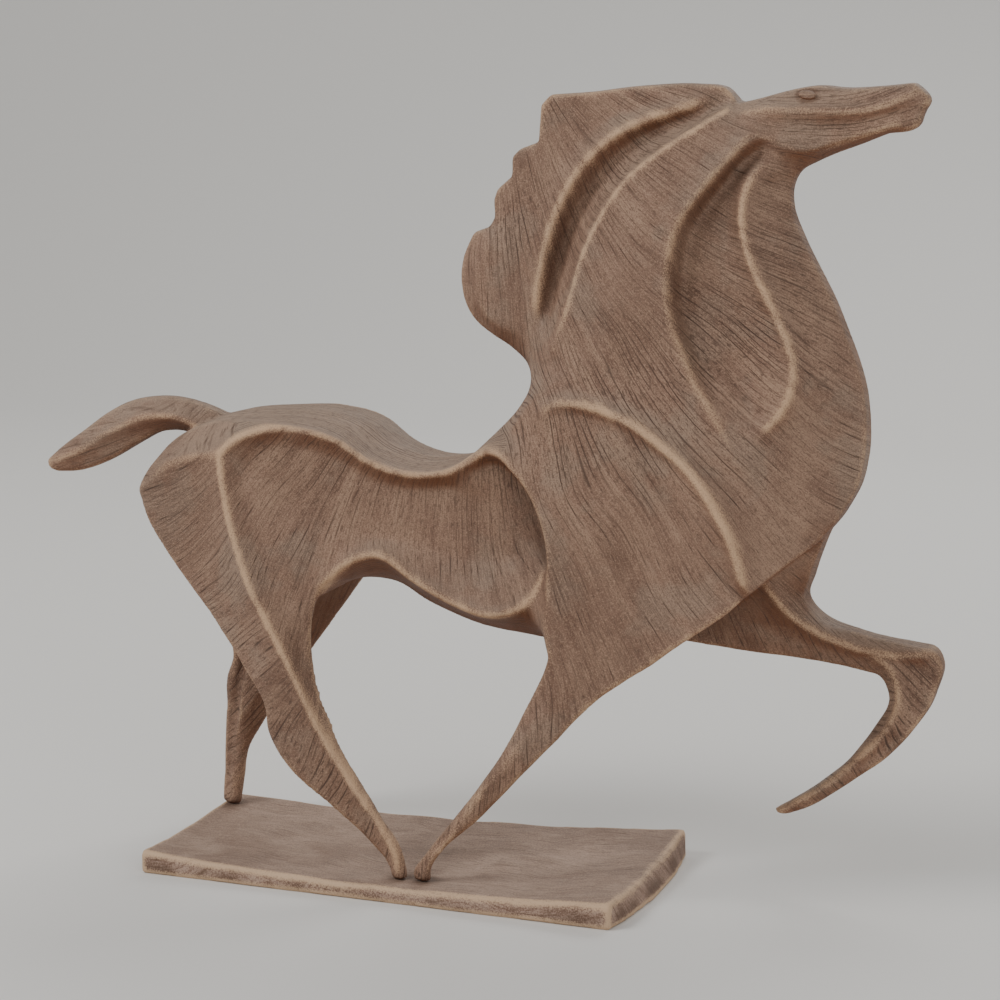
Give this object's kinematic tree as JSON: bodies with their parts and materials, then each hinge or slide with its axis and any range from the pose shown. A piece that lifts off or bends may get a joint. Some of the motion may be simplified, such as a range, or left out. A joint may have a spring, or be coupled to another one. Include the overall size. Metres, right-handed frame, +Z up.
{
  "type": "wooden horse statue",
  "caption": "Carved wooden horse, stylised in facets and hollows, one foreleg raised, standing on a thin board plinth.",
  "frame": {"origin": "centre of the plinth's underside", "axes": "+X towards the horse's head, along its length; +Y towards its raised foreleg; +Z up"},
  "size_m": [0.5593, 0.1489, 0.4796],
  "materials": {
    "carved_wood": "matt, open grain, worn ridges",
    "plinth_wood": "matt, lightly dusty top"
  },
  "bodies": {
    "root": {"horse": "carved_wood", "plinth": "plinth_wood"}
  },
  "joints": []
}
